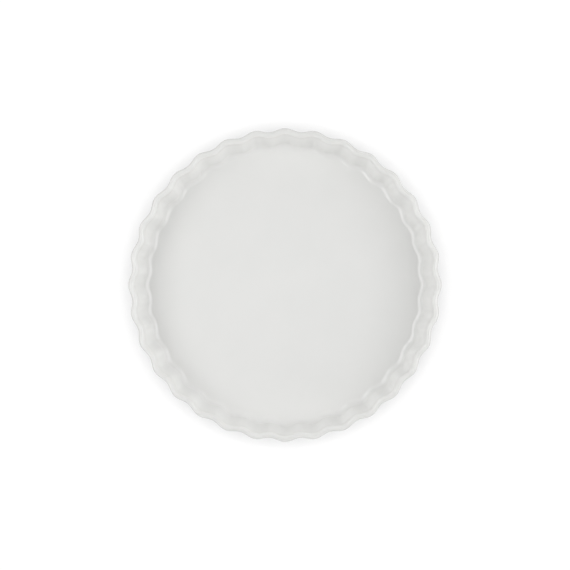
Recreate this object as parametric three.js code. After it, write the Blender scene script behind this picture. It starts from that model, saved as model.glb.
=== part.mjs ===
// A round fluted flan dish: a pressed stoneware body under a white glaze that stops at a bare foot ring.
// Millimetres, +Z up, origin in the middle of the foot ring, on the table.
import * as THREE from "three";

// Driving dimensions of the finished dish
const RIM_DIAMETER = 280; // over the flute crests
const HEIGHT = 38; // from the table to the top of the rim
const WALL = 5.6; // thickness of the wall, square to its slope
const WALL_DRAFT = THREE.MathUtils.degToRad(14); // lean of the wall, out from upright
const FLOOR = 6; // thickness of the floor
const FLOOR_FILLET = 6; // inside radius between floor and wall
const BASE_CORNER = 7; // outside radius between wall and base

// Driving dimensions of the flutes
const FLUTES = 32;
const FLUTE_DEPTH = 3; // crest to trough on the wall and rim
const FLOOR_FLUTE_DEPTH = 2; // crest to trough at the edge of the floor

// Driving dimensions of the foot ring and the glaze
const FOOT_HEIGHT = 1.5; // from the table to the glaze under the base
const FOOT_WIDTH = 5; // of the bare face that stands on the table
const FOOT_SLOPE = 1; // how far each side of the ring runs in on its way down
const GLAZE = 0.4; // thickness of the fired glaze
const BARE_MARGIN = 1; // clay wiped clean inside the foot ring

// Facets
const FLUTE_STEPS = 6;
const RIM_STEPS = 2; // on each side of the crown
const FILLET_STEPS = 3;
const CORNER_STEPS = 2;
const FOOT_WELL_STEPS = 64;

// Levels and centres that the pieces share
const RIM_ROUND = WALL / 2;
const FLOOR_LEVEL = FOOT_HEIGHT + FLOOR;
const FILLET_LEVEL = FLOOR_LEVEL + FLOOR_FILLET;
const CLAY_BASE_LEVEL = FOOT_HEIGHT + GLAZE;
const RIM_CENTRE = new THREE.Vector2(
  (RIM_DIAMETER - FLUTE_DEPTH) / 2 - RIM_ROUND,
  HEIGHT - RIM_ROUND,
);
const FILLET_CENTRE = besideWall(FILLET_LEVEL, -RIM_ROUND - FLOOR_FILLET);
const CORNER_CENTRE = besideWall(FOOT_HEIGHT + BASE_CORNER, RIM_ROUND - BASE_CORNER);

// Radii of the foot ring, from the outer edge of its bare face to its inner root
const FOOT_OUTER = CORNER_CENTRE.x - FOOT_SLOPE;
const FOOT_INNER = FOOT_OUTER - FOOT_WIDTH;
const FOOT_INNER_ROOT = FOOT_INNER - FOOT_SLOPE;

// The point at a level that lies a distance out from the middle of the wall, square to its slope.
function besideWall(level, distance) {
  const middle = RIM_CENTRE.x - (RIM_CENTRE.y - level) * Math.tan(WALL_DRAFT);
  return new THREE.Vector2(middle + distance / Math.cos(WALL_DRAFT), level);
}

// Points along a round of the section, from one angle to another.
function round(centre, radius, from, to, steps) {
  const arc = new THREE.EllipseCurve(centre.x, centre.y, radius, radius, from, to, to < from);
  return arc.getPoints(steps);
}

// Half section of the dish from the outer edge of the base, over the rim, to the middle of the floor.
// It lies at a depth under the finished surface. Every round keeps its centre at every depth,
// so that two sections stay the same distance apart all the way.
function dishSection(depth) {
  const up = Math.PI / 2;
  const outerCrown = round(RIM_CENTRE, RIM_ROUND - depth, -WALL_DRAFT, up, RIM_STEPS);
  const innerCrown = round(RIM_CENTRE, RIM_ROUND - depth, up, Math.PI - WALL_DRAFT, RIM_STEPS);
  return [
    ...round(CORNER_CENTRE, BASE_CORNER - depth, -up, -WALL_DRAFT, CORNER_STEPS),
    ...outerCrown,
    ...innerCrown.slice(1),
    ...round(FILLET_CENTRE, FLOOR_FILLET + depth, -WALL_DRAFT, -up, FILLET_STEPS),
    new THREE.Vector2(0, FLOOR_LEVEL - depth),
  ];
}

// Crest to trough depth of the flutes at a level. There are none at the foot. They deepen up to the floor,
// and again over the floor's fillet to their full depth on the wall.
function fluteDepth(level) {
  const { clamp, mapLinear } = THREE.MathUtils;
  if (level < FLOOR_LEVEL) {
    const belowFloor = Math.max(level, CLAY_BASE_LEVEL);
    return mapLinear(belowFloor, CLAY_BASE_LEVEL, FLOOR_LEVEL, 0, FLOOR_FLUTE_DEPTH);
  }
  const onFillet = clamp(level, FLOOR_LEVEL, FILLET_LEVEL);
  return mapLinear(onFillet, FLOOR_LEVEL, FILLET_LEVEL, FLOOR_FLUTE_DEPTH, FLUTE_DEPTH);
}

// Pushes each ring of a lathe in and out into flutes, with a crest on every axis.
function pressFlutes(lathe, ringCount) {
  const position = lathe.getAttribute("position");
  for (let i = 0; i < position.count; i++) {
    const column = Math.floor(i / ringCount);
    const radius = Math.hypot(position.getX(i), position.getZ(i));
    if (radius === 0) continue;
    const wave = Math.cos((2 * Math.PI * column) / FLUTE_STEPS);
    const stretch = 1 + (wave * fluteDepth(position.getY(i))) / (2 * radius);
    position.setX(i, position.getX(i) * stretch);
    position.setZ(i, position.getZ(i) * stretch);
  }
}

// Splits each four-sided facet of a lathe along its shorter diagonal, so that the clay and the glaze on it
// have the same facets whichever way round their sections are drawn. At the axis one half has no area.
function shortDiagonals(lathe, ringCount, columnCount) {
  const position = lathe.getAttribute("position");
  const corner = (i) => new THREE.Vector3().fromBufferAttribute(position, i);
  const span = (i, j) => corner(i).distanceTo(corner(j));
  const hasArea = (facet) => new THREE.Triangle(...facet.map(corner)).getArea() > 0;
  const facets = [];
  for (let column = 0; column < columnCount; column++) {
    for (let ring = 0; ring < ringCount - 1; ring++) {
      const a = column * ringCount + ring;
      const b = a + ringCount;
      const c = b + 1;
      const d = a + 1;
      if (span(a, c) < span(b, d)) facets.push([a, b, c], [a, c, d]);
      else facets.push([a, b, d], [b, c, d]);
    }
  }
  return facets.filter(hasArea).flat();
}

// A closed half section, from axis to axis, turned into a solid that is fluted above its base.
function turnedSolid(section, columnCount) {
  const lathe = new THREE.LatheGeometry(section, columnCount);
  pressFlutes(lathe, section.length);
  lathe.setIndex(shortDiagonals(lathe, section.length, columnCount));
  lathe.computeVertexNormals();
  return lathe.rotateX(Math.PI / 2);
}

// The fired clay: floor, fluted wall, rim and foot ring in one pressing.
function stonewareBody() {
  const section = [
    new THREE.Vector2(0, CLAY_BASE_LEVEL),
    new THREE.Vector2(FOOT_INNER_ROOT, CLAY_BASE_LEVEL),
    new THREE.Vector2(FOOT_INNER, 0),
    new THREE.Vector2(FOOT_OUTER, 0),
    ...dishSection(GLAZE),
  ];
  return turnedSolid(section, FLUTES * FLUTE_STEPS);
}

// The glaze fused over the inside, the rim and the outside, down to the foot ring.
function glazeCoat() {
  const section = [...dishSection(GLAZE).reverse(), ...dishSection(0)];
  return turnedSolid(section, FLUTES * FLUTE_STEPS);
}

// The patch of glaze on the underside, within the foot ring.
function footWellGlaze() {
  const radius = FOOT_INNER_ROOT - BARE_MARGIN;
  const section = [
    new THREE.Vector2(0, FOOT_HEIGHT),
    new THREE.Vector2(radius, FOOT_HEIGHT),
    new THREE.Vector2(radius, CLAY_BASE_LEVEL),
    new THREE.Vector2(0, CLAY_BASE_LEVEL),
  ];
  return turnedSolid(section, FOOT_WELL_STEPS);
}

const bareStoneware = new THREE.MeshStandardMaterial({ color: 0xd8c9b0, roughness: 0.85, metalness: 0 });
const whiteGlaze = new THREE.MeshStandardMaterial({ color: 0xe8e8e5, roughness: 0.25, metalness: 0 });

const dish = new THREE.Group();

function addPiece(name, geometry, material) {
  const piece = new THREE.Mesh(geometry, material);
  piece.name = name;
  dish.add(piece);
}

addPiece("stoneware_body", stonewareBody(), bareStoneware);
addPiece("glaze_coat", glazeCoat(), whiteGlaze);
addPiece("foot_well_glaze", footWellGlaze(), whiteGlaze);

export default dish;
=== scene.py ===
# %% [markdown]
# # A fluted flan dish
# The dish is one pressing of stoneware under a white glaze. The glaze covers all of it but the foot ring,
# which is wiped bare so that the dish doesn't stick to the kiln shelf. This script loads the solid
# construction as a fixed frame, models the clay and the glaze as fine meshes in the same place, gives
# each its finish, and sets up a studio shot from straight above.

# %% Load the frame
import math

import bmesh
import bpy
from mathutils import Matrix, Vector


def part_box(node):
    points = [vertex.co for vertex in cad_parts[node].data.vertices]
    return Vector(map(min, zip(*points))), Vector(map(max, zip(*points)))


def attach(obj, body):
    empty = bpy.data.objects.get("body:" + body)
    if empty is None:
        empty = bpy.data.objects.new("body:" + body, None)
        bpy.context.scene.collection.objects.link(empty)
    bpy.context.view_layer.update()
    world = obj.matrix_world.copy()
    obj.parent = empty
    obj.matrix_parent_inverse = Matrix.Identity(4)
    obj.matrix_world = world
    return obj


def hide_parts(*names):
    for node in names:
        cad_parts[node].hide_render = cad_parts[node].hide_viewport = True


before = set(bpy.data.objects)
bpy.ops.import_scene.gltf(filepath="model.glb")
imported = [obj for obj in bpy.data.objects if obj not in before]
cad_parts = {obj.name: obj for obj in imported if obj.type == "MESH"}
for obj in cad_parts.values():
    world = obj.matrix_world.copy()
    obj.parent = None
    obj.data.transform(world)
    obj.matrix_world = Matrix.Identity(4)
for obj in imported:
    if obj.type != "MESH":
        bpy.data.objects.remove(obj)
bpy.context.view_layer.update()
print("nodes to stand for:", ", ".join(sorted(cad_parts)))

# %% [markdown]
# ## Sizes
# Lengths are in metres, as everywhere in Blender. The overall sizes come from the frame, so that the fine
# meshes are as large as the solids that they stand for. The others are the sizes of the mould. They could
# be measured on the frame too, but a name says more than a measurement.

# %% Sizes of the dish
MM = 0.001
coat_low, coat_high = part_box("glaze_coat")
well_low, well_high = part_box("foot_well_glaze")

RIM_RADIUS = coat_high.x  # over the flute crests
HEIGHT = coat_high.z
FOOT_HEIGHT = coat_low.z  # from the table to the glaze under the base
GLAZE = well_high.z - well_low.z
WELL_RADIUS = well_high.x

WALL = 5.6 * MM
WALL_LEAN = math.radians(14)
FLOOR = 6 * MM
FLOOR_FILLET = 6 * MM
BASE_CORNER = 7 * MM
print(f"dish {2 * RIM_RADIUS / MM:.1f} mm across and {HEIGHT / MM:.1f} mm high")
print(f"glaze {GLAZE / MM:.1f} mm thick, floor {FLOOR / MM:.1f} mm, wall {WALL / MM:.1f} mm")

# %% [markdown]
# ## The half section
# A dish like this is a half section turned about its axis. The section could be a long list of points,
# but a potter thinks of it as a few straight lines with rounded corners, so that is how it is drawn here:
# each corner is a radius, a level and a rounding. One function gives the section at any depth under the
# finished surface, because the clay follows the glaze at an even depth.

# %% Corners of the section
RIM_ROUND = WALL / 2
FLOOR_LEVEL = FOOT_HEIGHT + FLOOR
FLUTE_DEPTH = 3 * MM  # crest to trough
wall_up = Vector((math.sin(WALL_LEAN), math.cos(WALL_LEAN)))
wall_out = Vector((math.cos(WALL_LEAN), -math.sin(WALL_LEAN)))
rim_centre = Vector((RIM_RADIUS - FLUTE_DEPTH / 2 - RIM_ROUND, HEIGHT - RIM_ROUND))


def beside_wall(distance, level):
    """The point at a level that lies a distance out from the middle of the wall."""
    start = rim_centre + wall_out * distance
    return start + wall_up * ((level - start.y) / wall_up.y)


# The radius where the round of the base corner ends and the foot ring starts
BASE_END = beside_wall(RIM_ROUND - BASE_CORNER, FOOT_HEIGHT + BASE_CORNER).x


def dish_corners(depth):
    """Corners from the middle of the floor, over the rim, to the end of the base, with their roundings."""
    half_wall = RIM_ROUND - depth
    return [
        (Vector((0, FLOOR_LEVEL - depth)), 0),
        (beside_wall(-half_wall, FLOOR_LEVEL - depth), FLOOR_FILLET + depth),
        (rim_centre + (wall_up - wall_out) * half_wall, half_wall),
        (rim_centre + (wall_up + wall_out) * half_wall, half_wall),
        (beside_wall(half_wall, FOOT_HEIGHT + depth), BASE_CORNER - depth),
        (Vector((BASE_END, FOOT_HEIGHT + depth)), 0),
    ]


print("section corners in mm:", [[round(x / MM, 1) for x in corner] for corner, _ in dish_corners(0)])

# %% [markdown]
# ## Rounding a corner
# Nothing on a pressed dish is sharp, because clay wouldn't leave a sharp mould whole. The rounds could be
# drawn as arcs of points. Here the corners are a chain of edges, and bevelling a vertex of the chain
# rounds it, so that only a radius is needed. The bevel's offset is the tangent length of the round, which
# follows from the radius and from how far the chain turns.

# %% Round a corner of a chain
ROUND_SEGMENTS = 10


def round_corner(mesh, corner, radius):
    """Rounds a corner of a chain of edges."""
    along, back = (edge.other_vert(corner).co - corner.co for edge in corner.link_edges)
    turn = math.pi - along.angle(back)
    bmesh.ops.bevel(
        mesh,
        geom=[corner],
        offset=radius * math.tan(turn / 2),
        offset_type="OFFSET",
        affect="VERTICES",
        segments=ROUND_SEGMENTS,
        profile=0.5,
        material=-1,
    )


print("segments in a round:", ROUND_SEGMENTS)

# %% [markdown]
# ## Turning the section
# A round form comes from turning a section, on a wheel or on a lathe. A Screw modifier would turn it as
# well, but the flutes that follow need real vertices, so Spin makes the skin. Long edges are cut first,
# so that the flutes have something to bend. Merging doubles closes the seam and the poles, and
# recalculating the normals after that points every face outwards.

# %% Turn a section into a closed skin
FLUTES = 32
FLUTE_COLUMNS = 12  # an even number, so that every crest and every trough has a column of its own
COLUMNS = FLUTE_COLUMNS * FLUTES
LONGEST_EDGE = 6 * MM
SAME_PLACE = 0.001 * MM


def turned(corners):
    """A closed skin: a half section from axis to axis, rounded and spun."""
    mesh = bmesh.new()
    chain = [mesh.verts.new((place.x, 0, place.y)) for place, _ in corners]
    for start, end in zip(chain, chain[1:]):
        mesh.edges.new((start, end))
    for vertex, (_, radius) in zip(chain, corners):
        if radius:
            round_corner(mesh, vertex, radius)
    bmesh.ops.remove_doubles(mesh, verts=mesh.verts, dist=SAME_PLACE)
    for edge in mesh.edges[:]:
        cuts = int(edge.calc_length() / LONGEST_EDGE)
        if cuts:
            bmesh.ops.subdivide_edges(mesh, edges=[edge], cuts=cuts)
    bmesh.ops.spin(
        mesh,
        geom=mesh.verts[:] + mesh.edges[:],
        cent=(0, 0, 0),
        axis=(0, 0, 1),
        angle=2 * math.pi,
        steps=COLUMNS,
        use_merge=True,
    )
    bmesh.ops.remove_doubles(mesh, verts=mesh.verts, dist=SAME_PLACE)
    bmesh.ops.recalc_face_normals(mesh, faces=mesh.faces)
    return mesh


print("columns in a turn:", COLUMNS)

# %% [markdown]
# ## The flutes
# Seen from above, the wall is a wave. A Displace modifier could push it out by a texture, but a cosine of
# the angle says where every crest is, so each point moves in or out by that. The flutes run out towards
# the foot, which is round: the wave grows from nothing at the base of the clay to its full depth just
# above the floor's fillet. A quarter of a sine gives that growth without a visible crease.

# %% Press the flutes
CLAY_BASE = FOOT_HEIGHT + GLAZE  # the level of the clay under the base
FULL_FLUTES = FLOOR_LEVEL + FLOOR_FILLET  # the level above which the flutes have their full depth


def flute_depth(level):
    """Crest to trough depth at a level."""
    share = (level - CLAY_BASE) / (FULL_FLUTES - CLAY_BASE)
    return FLUTE_DEPTH * math.sin(math.pi / 2 * min(max(share, 0), 1))


def press_flutes(mesh):
    """Moves every vertex in or out, with a crest on every axis."""
    for vertex in mesh.verts:
        radius = vertex.co.xy.length
        if radius > SAME_PLACE:
            wave = math.cos(FLUTES * math.atan2(vertex.co.y, vertex.co.x))
            vertex.co.xy *= 1 + wave * flute_depth(vertex.co.z) / 2 / radius


for title, level in (("floor", FLOOR_LEVEL), ("rim", HEIGHT)):
    print(f"flutes at the {title}: {flute_depth(level) / MM:.1f} mm deep")

# %% [markdown]
# ## From mesh to piece
# A finished piece has its place in its mesh. Its object could be moved instead, but a pattern on Object
# coordinates is measured from the object's origin, so every object stays at the origin of the dish. Each
# piece stands for a node of the frame and rides on its body.

# %% Make a piece of a mesh


def add_piece(mesh, name, node):
    """A smooth object that stands for a node of the frame."""
    data = bpy.data.meshes.new(name)
    mesh.to_mesh(data)
    mesh.free()
    data.shade_smooth()
    piece = bpy.data.objects.new(name, data)
    bpy.context.scene.collection.objects.link(piece)
    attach(piece, "root")
    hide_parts(node)
    print(f"{name}: {len(data.vertices)} vertices, {len(data.polygons)} faces")
    return piece


# %% [markdown]
# ## The clay
# The clay shows only at the foot ring, where the glaze was wiped off. The ring alone could stand for it,
# but it is modelled whole, as it was pressed. Its outer skin is the dish's section at the depth of the
# glaze. The edges of the ring are soft, because a wet sponge took off the sharpness.

# %% Model the clay
FOOT_WIDTH = 5 * MM  # of the bare face that stands on the table
FOOT_SLOPE = 1 * MM  # how far each side of the ring runs in on its way down
SPONGED_EDGE = 0.5 * MM
foot_outer = BASE_END - FOOT_SLOPE
foot_inner = foot_outer - FOOT_WIDTH
foot_corners = [
    (Vector((0, CLAY_BASE)), 0),
    (Vector((foot_inner - FOOT_SLOPE, CLAY_BASE)), SPONGED_EDGE),
    (Vector((foot_inner, 0)), SPONGED_EDGE),
    (Vector((foot_outer, 0)), SPONGED_EDGE),
]
clay_mesh = turned(foot_corners + dish_corners(GLAZE)[::-1])
press_flutes(clay_mesh)
clay = add_piece(clay_mesh, "fired_clay", "stoneware_body")

# %% [markdown]
# ## The glaze over the dish
# A Solidify modifier could thicken the clay's skin, but melted glaze ends in a soft bead where it was
# wiped off, so both faces of the glaze are drawn, with a round at the end of the outer one. The base
# corner above the bead is a little tighter than the clay's, because the melt gathers there.

# %% Model the glaze over the dish
GLAZE_BEAD = 0.3 * MM
GATHERED = 2 * GLAZE_BEAD  # how much the melt takes off the radius of the base corner
outer_face = dish_corners(0)
(base_corner, _), (base_end, _) = outer_face[-2:]
outer_face[-2:] = [(base_corner, BASE_CORNER - GATHERED), (base_end, GLAZE_BEAD)]
coat_mesh = turned(outer_face + dish_corners(GLAZE)[::-1])
press_flutes(coat_mesh)
coat = add_piece(coat_mesh, "glaze_over_dish", "glaze_coat")

# %% [markdown]
# ## The glaze in the foot well
# Inside the foot ring the underside has a patch of glaze of its own. It could be a plain disc, but its
# edge melted to a bead as well, so it is turned from a small section, like the rest.

# %% Model the glaze in the foot well
well_corners = [
    (Vector((0, FOOT_HEIGHT)), 0),
    (Vector((WELL_RADIUS, FOOT_HEIGHT)), GLAZE_BEAD),
    (Vector((WELL_RADIUS, CLAY_BASE)), 0),
    (Vector((0, CLAY_BASE)), 0),
]
well = add_piece(turned(well_corners), "glaze_in_foot_well", "foot_well_glaze")

# %% [markdown]
# ## Shader maths in Python
# A finish is a tree of nodes. It could be linked node by node, but an expression is easier to read, so a
# Value wraps a socket, and arithmetic on it adds Math nodes.

# %% A socket that knows arithmetic


class Value:
    """Something that varies over a surface: an output socket, with arithmetic for numbers."""

    def __init__(self, nodes, socket):
        self.nodes = nodes
        self.socket = socket

    def maths(self, operation, first, second):
        return self.nodes.add("Math", {"operation": operation}, {0: first, 1: second})

    def __add__(self, other):
        return self.maths("ADD", self, other)

    def __sub__(self, other):
        return self.maths("SUBTRACT", self, other)

    def __rsub__(self, other):
        return self.maths("SUBTRACT", other, self)

    def __mul__(self, other):
        return self.maths("MULTIPLY", self, other)

    __radd__ = __add__
    __rmul__ = __mul__

    def step(self, start, end):
        """0 at start and 1 at end, eased between. Start may be the greater one."""
        inputs = {"Value": self, "From Min": start, "From Max": end}
        return self.nodes.add("MapRange", {"interpolation_type": "SMOOTHSTEP"}, inputs)


print("a Value takes + - * and step")

# %% [markdown]
# ## A tree to fill
# Every other node is added by one method: its settings first, because they decide which sockets it has,
# and then the values or links of its sockets. Mixed colours and noise are needed often, so each has a
# short method that calls it.

# %% A tree of nodes


class Nodes:
    """The emptied node tree of a material or world."""

    def __init__(self, owner):
        owner.use_nodes = True
        self.tree = owner.node_tree
        self.tree.nodes.clear()

    def add(self, kind, settings=None, inputs=None, output=0):
        """Adds a node and gives one of its outputs. Sockets go by number or by identifier."""
        node = self.tree.nodes.new("ShaderNode" + kind)
        for name, value in (settings or {}).items():
            setattr(node, name, value)
        for name, value in (inputs or {}).items():
            socket = self.socket(node.inputs, name)
            if isinstance(value, Value):
                self.tree.links.new(value.socket, socket)
            else:
                socket.default_value = value
        if node.outputs:
            return Value(self, self.socket(node.outputs, output))

    def socket(self, sockets, name):
        if isinstance(name, int):
            return sockets[name]
        return next(socket for socket in sockets if socket.identifier == name)

    def mixed(self, factor, first, second):
        """A colour between two."""
        inputs = {"Factor_Float": factor, "A_Color": first, "B_Color": second}
        return self.add("Mix", {"data_type": "RGBA"}, inputs, "Result_Color")

    def noise(self, place, size, detail=2):
        """Soft noise between 0 and 1, with features of about a size in metres."""
        return self.add("TexNoise", None, {"Vector": place, "Scale": 1 / size, "Detail": detail})


def new_finish(name):
    """A material and its emptied nodes, with the place on the object."""
    material = bpy.data.materials.new(name)
    nodes = Nodes(material)
    return material, nodes, nodes.add("TexCoord", output="Object")


print("a tree takes:", ", ".join(name for name in vars(Nodes) if not name.startswith("_")))

# %% [markdown]
# ## Where the glaze is thin, and painted shade at the rim's edge
# Melted glaze runs down from a rim, so it covers the clay a little less there, in patches. Along the rim's
# outer edge a thin dark line of painted shade stands in for the shaded outline there. The two could be
# painted by hand as vertex colours. Working them out from the place on the dish gives softer edges, and
# follows the scallops by itself.

# %% Find the thin glaze and the painted shade at the rim's edge
RIM_BAND = (HEIGHT - 8 * MM, HEIGHT - 1 * MM)  # levels between which the glaze thins
PATCH_SIZE = 20 * MM
PATCH_EDGES = (0.2, 0.7)  # noise between which a patch fades in
BETWEEN_PATCHES = 0.6  # the share of the thinning that is left between patches
RIM_EDGE_SHADE_INSET = (1.5 * MM, 0.3 * MM)  # distances from the outer edge between which the painted shade fades in
RIM_EDGE_SHADE_BAND = (HEIGHT - 10 * MM, HEIGHT - 4 * MM)  # levels between which the painted shade fades in


def thin_rim(nodes, place, level):
    """0 on the wall and up to 1 on the rim, in patches."""
    patches = nodes.noise(place, PATCH_SIZE).step(*PATCH_EDGES)
    return level.step(*RIM_BAND) * (BETWEEN_PATCHES + (1 - BETWEEN_PATCHES) * patches)


def painted_rim_edge_shade(nodes, x, y, level):
    """Painted shade: 1 at the scalloped outer edge of the rim, and 0 elsewhere."""
    turn = nodes.add("Math", {"operation": "ARCTAN2"}, {0: y, 1: x})
    wave = nodes.add("Math", {"operation": "COSINE"}, {0: FLUTES * turn})
    radius = nodes.add("Math", {"operation": "SQRT"}, {0: x * x + y * y})
    inset = RIM_RADIUS - FLUTE_DEPTH / 2 * (1 - wave) - radius
    return inset.step(*RIM_EDGE_SHADE_INSET) * level.step(*RIM_EDGE_SHADE_BAND)


print("levels in mm where the rim's glaze thins:", [round(level / MM, 1) for level in RIM_BAND])

# %% [markdown]
# ## The glaze finish
# A white glaze is a film of glass with fine white grains in it. It is nearly even, but not quite: the
# melt is a little cloudy, it is duller where it is thin, and its skin is very slightly dimpled, as orange
# peel is. A thin line of painted shade also darkens the rim's outer edge. All of this is far too fine to
# model, so it is worked out from Object coordinates, which stay on the dish when it moves.

# %% Finish the glaze
GLAZE_WHITE = (0.780, 0.780, 0.766, 1)
CLOUDED_WHITE = (0.770, 0.771, 0.757, 1)
THIN_WHITE = (0.720, 0.719, 0.703, 1)
# painted shade: a darker line along the rim's outer edge, where its outline lies in shade
RIM_EDGE_SHADE_WHITE = (0.640, 0.640, 0.625, 1)
CLOUD_SIZE = 35 * MM
CLOUD_DETAIL = 3
CLOUD_EDGES = (0.35, 0.70)  # noise between which a cloud fades in
PEEL_SIZE = 3.5 * MM
PEEL_DETAIL = 1
PEEL_DEPTH = 0.06 * MM
PEEL_STRENGTH = 0.25
GLASS_ROUGHNESS = 0.09
SATIN_SIZE = 24 * MM
SATIN_ROUGHNESS = 0.05  # added where the melt is more satin
THIN_ROUGHNESS = 0.12  # added where the glaze is thin
GLAZE_IOR = 1.58


def glaze_finish():
    material, nodes, place = new_finish("clouded_white_glaze")
    x, y, level = (nodes.add("SeparateXYZ", None, {0: place}, axis) for axis in "XYZ")
    clouds = nodes.noise(place, CLOUD_SIZE, CLOUD_DETAIL).step(*CLOUD_EDGES)
    thin = thin_rim(nodes, place, level)
    colour = nodes.mixed(clouds, GLAZE_WHITE, CLOUDED_WHITE)
    colour = nodes.mixed(thin, colour, THIN_WHITE)
    # painted shade along the rim's outer edge
    colour = nodes.mixed(painted_rim_edge_shade(nodes, x, y, level), colour, RIM_EDGE_SHADE_WHITE)
    peel = nodes.noise(place, PEEL_SIZE, PEEL_DETAIL)
    dimples = nodes.add("Bump", None, {"Strength": PEEL_STRENGTH, "Distance": PEEL_DEPTH, "Height": peel})
    roughness = GLASS_ROUGHNESS + SATIN_ROUGHNESS * nodes.noise(place, SATIN_SIZE) + THIN_ROUGHNESS * thin
    inputs = {"Base Color": colour, "Roughness": roughness, "IOR": GLAZE_IOR, "Normal": dimples}
    surface = nodes.add("BsdfPrincipled", None, inputs)
    nodes.add("OutputMaterial", None, {"Surface": surface})
    return material


white_glaze = glaze_finish()
coat.data.materials.append(white_glaze)
well.data.materials.append(white_glaze)
print("finish:", white_glaze.name, len(white_glaze.node_tree.nodes), "nodes")

# %% [markdown]
# ## The bare clay
# Where it is wiped, stoneware is matt and sandy: a buff ground with darker grains of iron and paler
# grains of grog, toasted to a warmer brown close to the glaze. The grains are smaller than any mesh could
# show, so noise and Voronoi cells stand for them, and a bump gives them their rough feel.

# %% Finish the clay
BUFF = (0.62, 0.50, 0.36, 1)
PALE_GROG = (0.74, 0.65, 0.52, 1)
GROG_SIZE = 1.2 * MM
GROG_DETAIL = 4
GROG_EDGES = (0.45, 0.70)  # noise between which a grain fades in
IRON_GRAIN = (0.30, 0.20, 0.13, 1)
IRON_SPACING = 1.6 * MM
IRON_EDGES = (0.22, 0.10)  # distances from a cell's middle, in cells, between which a grain fades in
IRON_SHARE = 0.7
TOASTED = (0.50, 0.34, 0.20, 1)
TOASTED_BAND = (0.4 * CLAY_BASE, CLAY_BASE)  # levels between which the toasting grows
TOASTED_SIZE = 9 * MM
TOASTED_EDGES = (0.2, 0.6)
TOASTED_SHARE = 0.7
SAND_SIZE = 0.7 * MM
SAND_DETAIL = 5
SAND_DEPTH = 0.15 * MM
SAND_STRENGTH = 0.6
CLAY_ROUGHNESS = 0.80
GROG_ROUGHNESS = 0.15  # added on the grog


def clay_finish():
    material, nodes, place = new_finish("sandy_stoneware")
    level = nodes.add("SeparateXYZ", None, {0: place}, "Z")
    grog = nodes.noise(place, GROG_SIZE, GROG_DETAIL).step(*GROG_EDGES)
    cells = nodes.add("TexVoronoi", None, {"Vector": place, "Scale": 1 / IRON_SPACING})
    toast = level.step(*TOASTED_BAND) * nodes.noise(place, TOASTED_SIZE).step(*TOASTED_EDGES)
    colour = nodes.mixed(grog, BUFF, PALE_GROG)
    colour = nodes.mixed(cells.step(*IRON_EDGES) * IRON_SHARE, colour, IRON_GRAIN)
    colour = nodes.mixed(toast * TOASTED_SHARE, colour, TOASTED)
    sand = nodes.noise(place, SAND_SIZE, SAND_DETAIL)
    grain = nodes.add("Bump", None, {"Strength": SAND_STRENGTH, "Distance": SAND_DEPTH, "Height": sand})
    roughness = CLAY_ROUGHNESS + GROG_ROUGHNESS * grog
    inputs = {"Base Color": colour, "Roughness": roughness, "Normal": grain}
    surface = nodes.add("BsdfPrincipled", None, inputs)
    nodes.add("OutputMaterial", None, {"Surface": surface})
    return material


bare_stoneware = clay_finish()
clay.data.materials.append(bare_stoneware)
print("finish:", bare_stoneware.name, len(bare_stoneware.node_tree.nodes), "nodes")

# %% [markdown]
# ## The camera
# The photograph looks straight down on the dish from about a metre and a half. A lens could be tried
# until the framing fits. Here it follows from how much of the picture the dish fills, so it stays right
# when the distance changes.

# %% Set up the camera
PICTURE_PIXELS = 570
DISH_PIXELS = 314.4  # across the flute crests
CAMERA_HEIGHT = 1.6

camera_data = bpy.data.cameras.new("camera")
picture_width = 2 * RIM_RADIUS * PICTURE_PIXELS / DISH_PIXELS
camera_data.lens = camera_data.sensor_width * (CAMERA_HEIGHT - HEIGHT) / picture_width
camera = bpy.data.objects.new("camera", camera_data)
camera.location = (0, 0, CAMERA_HEIGHT)
bpy.context.scene.collection.objects.link(camera)
bpy.context.scene.camera = camera
print(f"lens {camera_data.lens:.0f} mm, {picture_width / MM:.0f} mm of the table in view")

# %% [markdown]
# ## The table's finish
# The dish stands on a white table that melts into a white background and keeps only a breath of shadow
# close to the dish. More light would whiten it, but would bleach the dish too. So to the light the table
# is plain white paint. To the camera, and in reflections, most of it is a steady white that is shaded
# where the dish stands near, and the rest is the painted table with its cast shadow. Far from the dish
# the share of steady white grows, so that no edge shows in low views.

# %% Finish the table
WHITE = (1, 1, 1, 1)
TABLE_PAINT = (0.90, 0.90, 0.90, 1)
TABLE_GLOW = 0.80  # the share of steady white round the dish
FAR_GLOW = 0.92  # the share far from it, where the lamps reach less
GLOW_RISE = (0.4, 1.5)  # distances between which the share grows
GLOW_STRENGTH = 1.08  # over 1, because the painted share is darker than white
NEAR = 22 * MM  # how far from the dish the steady white is shaded
NEAR_SHADE = (0.34, 0.34, 0.34, 1)


def seen_directly(nodes):
    """1 for the camera and for what shows in reflections and through glass, 0 for soft light."""
    flags = ("Is Camera Ray", "Is Glossy Ray", "Is Transmission Ray")
    camera_ray, glossy_ray, clear_ray = (nodes.add("LightPath", output=flag) for flag in flags)
    return camera_ray + glossy_ray + clear_ray


def table_finish():
    material, nodes, place = new_finish("white_table")
    paint = nodes.add("BsdfDiffuse", None, {"Color": TABLE_PAINT})
    clearness = nodes.add("AmbientOcclusion", None, {"Distance": NEAR}, "AO")
    tone = nodes.mixed(clearness, NEAR_SHADE, WHITE)
    glow = nodes.add("Emission", None, {"Color": tone, "Strength": GLOW_STRENGTH})
    distance = nodes.add("VectorMath", {"operation": "LENGTH"}, {0: place}, "Value")
    steady = TABLE_GLOW + (FAR_GLOW - TABLE_GLOW) * distance.step(*GLOW_RISE)
    share = seen_directly(nodes) * steady
    surface = nodes.add("MixShader", None, {0: share, 1: paint, 2: glow})
    nodes.add("OutputMaterial", None, {"Surface": surface})
    return material


white_table = table_finish()
print("finish:", white_table.name, len(white_table.node_tree.nodes), "nodes")

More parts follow.
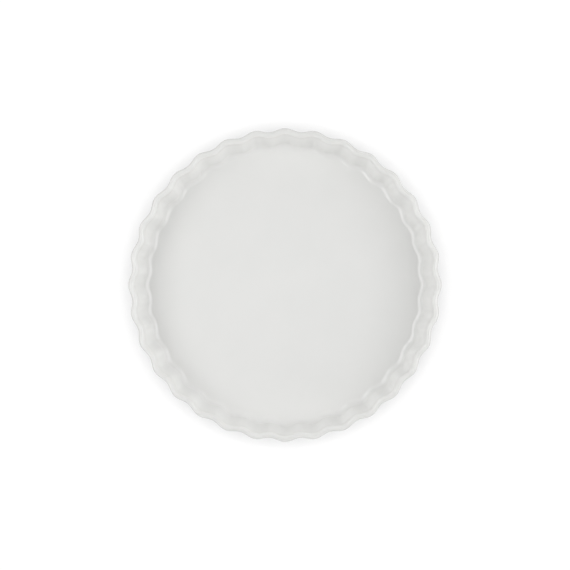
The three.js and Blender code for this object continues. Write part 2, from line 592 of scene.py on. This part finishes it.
# %% [markdown]
# ## The table
# A studio table for a white dish is a wide, level sheet. A plane would do, but a round one ends at the
# same distance on every side.

# %% Lay the table
TABLE_RADIUS = 4.0
TABLE_SEGMENTS = 64

table_mesh = bmesh.new()
bmesh.ops.create_circle(table_mesh, cap_ends=True, radius=TABLE_RADIUS, segments=TABLE_SEGMENTS)
table_data = bpy.data.meshes.new("table")
table_mesh.to_mesh(table_data)
table_mesh.free()
table_data.materials.append(white_table)
table = bpy.data.objects.new("table", table_data)
bpy.context.scene.collection.objects.link(table)
print(f"table {2 * TABLE_RADIUS:.0f} m across")

# %% [markdown]
# ## The light
# A large softbox stands on each side of the dish. Each lights the wall across from it, where the fillet
# catches a bright line, and leaves the floor beside the nearer wall in a soft shadow. A lamp is usually
# set by its power. Here a panel is given by how bright it looks beside white paper, because that is what
# a reflection shows, and the power in watts follows from its area.

# %% Stand the softboxes
SOFTBOX_DISTANCE = 1.5


def stand_softbox(name, azimuth, elevation, width, height, brightness):
    """A panel that faces the dish. Azimuth 0 is along +X, and width runs level."""
    data = bpy.data.lights.new(name, "AREA")
    data.shape = "RECTANGLE"
    data.size = width
    data.size_y = height
    data.energy = brightness * math.pi * width * height
    lamp = bpy.data.objects.new(name, data)
    reach = math.cos(elevation)
    away = Vector((reach * math.cos(azimuth), reach * math.sin(azimuth), math.sin(elevation)))
    lamp.location = away * SOFTBOX_DISTANCE
    lamp.rotation_euler = away.to_track_quat("Z", "Y").to_euler()
    lamp.visible_camera = False
    bpy.context.scene.collection.objects.link(lamp)
    print(f"{name}: {data.energy:.1f} W")


stand_softbox(
    "left_softbox",
    azimuth=math.radians(180),
    elevation=math.radians(53),
    width=1.85,
    height=1.0,
    brightness=2.31,
)
stand_softbox(
    "right_softbox",
    azimuth=0,
    elevation=math.radians(48),
    width=1.15,
    height=1.3,
    brightness=2.26,
)

# %% [markdown]
# ## The room
# White walls round the table throw light in from low down on every side, most from in front and behind,
# and least from the left. They could be modelled, but a world that is bright at the horizon and dark
# overhead does the same. To the camera, and in reflections, the room is plain white.

# %% Light the room
WALL_GLOW = 1.32
BRIGHT_SIDE = 0.2  # how much more the room glows on the right, and less on the left
BRIGHT_ENDS = 0.2  # how much more it glows in front and behind, and less on both sides
WALL_FOOT = math.sin(math.radians(5))
WALL_TOP = math.sin(math.radians(60))

world = bpy.data.worlds.new("studio")
world_nodes = Nodes(world)
outlook = world_nodes.add("TexCoord", output="Generated")
steepness = world_nodes.add("SeparateXYZ", None, {0: outlook}, "Z")
rightness = world_nodes.add("SeparateXYZ", None, {0: outlook}, "X")
sideways = rightness * rightness
glow = WALL_GLOW * steepness.step(WALL_TOP, WALL_FOOT)
glow = glow * (1 + BRIGHT_SIDE * rightness) * (1 + BRIGHT_ENDS - 2 * BRIGHT_ENDS * sideways)
walls = world_nodes.add("Background", None, {"Color": WHITE, "Strength": glow})
white = world_nodes.add("Background", None, {"Color": WHITE, "Strength": 1})
backdrop = world_nodes.add("MixShader", None, {0: seen_directly(world_nodes), 1: walls, 2: white})
world_nodes.add("OutputWorld", None, {"Surface": backdrop})
bpy.context.scene.world = world
print("room:", len(world.node_tree.nodes), "nodes")

# %% [markdown]
# ## Finish
# Colours are shown as they are, without a film look.

# %% Finish
bpy.context.scene.view_settings.view_transform = "Standard"
